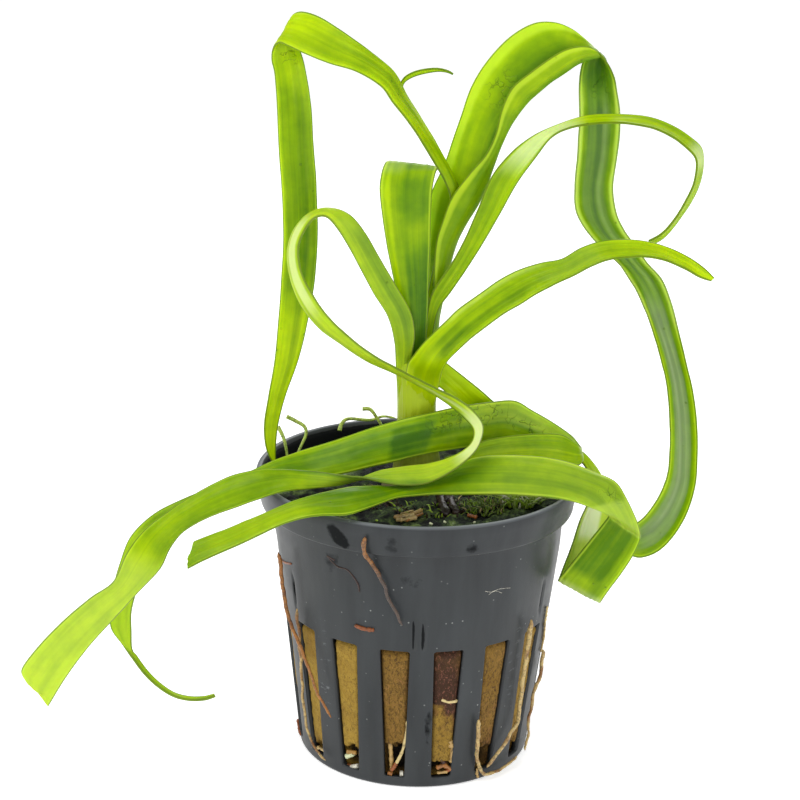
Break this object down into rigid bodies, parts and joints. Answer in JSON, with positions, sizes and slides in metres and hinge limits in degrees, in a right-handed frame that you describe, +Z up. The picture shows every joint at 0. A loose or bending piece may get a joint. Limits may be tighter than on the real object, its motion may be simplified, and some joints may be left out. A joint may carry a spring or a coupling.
{
  "type": "potted aquarium plant",
  "caption": "Water onion with a half sunk bulb and long twisting strap leaves, growing from mineral wool in a small tapered slotted net pot.",
  "frame": {"origin": "centre of the pot's flat underside", "axes": "+Z up along the pot's axis, +X to the right and +Y away as the plant is seen in the picture"},
  "size_m": [0.1123, 0.0559, 0.1262],
  "materials": {
    "net_pot": "dark grey moulded plastic, semi matt",
    "rock_wool": "mineral wool, matt, mossy on top",
    "bulb": "living plant skin, satin",
    "leaf_left_arch": "living leaf, satin",
    "leaf_tall": "living leaf, satin",
    "leaf_ring": "living leaf, satin",
    "leaf_right": "living leaf, satin",
    "leaf_folded": "living leaf, satin",
    "leaf_left_loop": "living leaf, satin",
    "leaf_thin": "living leaf, satin",
    "leaf_across_back": "living leaf, satin",
    "leaf_across_front": "living leaf, satin",
    "root_left": "living root, matt",
    "root_left_pale": "living root, matt",
    "root_front": "living root, matt",
    "root_right": "living root, matt",
    "root_right_edge": "living root, matt",
    "root_low": "living root, matt",
    "rootlet_left": "living shoot, satin",
    "rootlet_hooked": "living shoot, satin",
    "rootlet_back": "living shoot, satin",
    "rootlet_middle": "living shoot, satin"
  },
  "bodies": {
    "root": {"net_pot": "net_pot", "rock_wool": "rock_wool", "bulb": "bulb", "leaf_left_arch": "leaf_left_arch", "leaf_tall": "leaf_tall", "leaf_ring": "leaf_ring", "leaf_right": "leaf_right", "leaf_folded": "leaf_folded", "leaf_left_loop": "leaf_left_loop", "leaf_thin": "leaf_thin", "leaf_across_back": "leaf_across_back", "leaf_across_front": "leaf_across_front", "root_left": "root_left", "root_left_pale": "root_left_pale", "root_front": "root_front", "root_right": "root_right", "root_right_edge": "root_right_edge", "root_low": "root_low", "rootlet_left": "rootlet_left", "rootlet_hooked": "rootlet_hooked", "rootlet_back": "rootlet_back", "rootlet_middle": "rootlet_middle"}
  },
  "joints": []
}
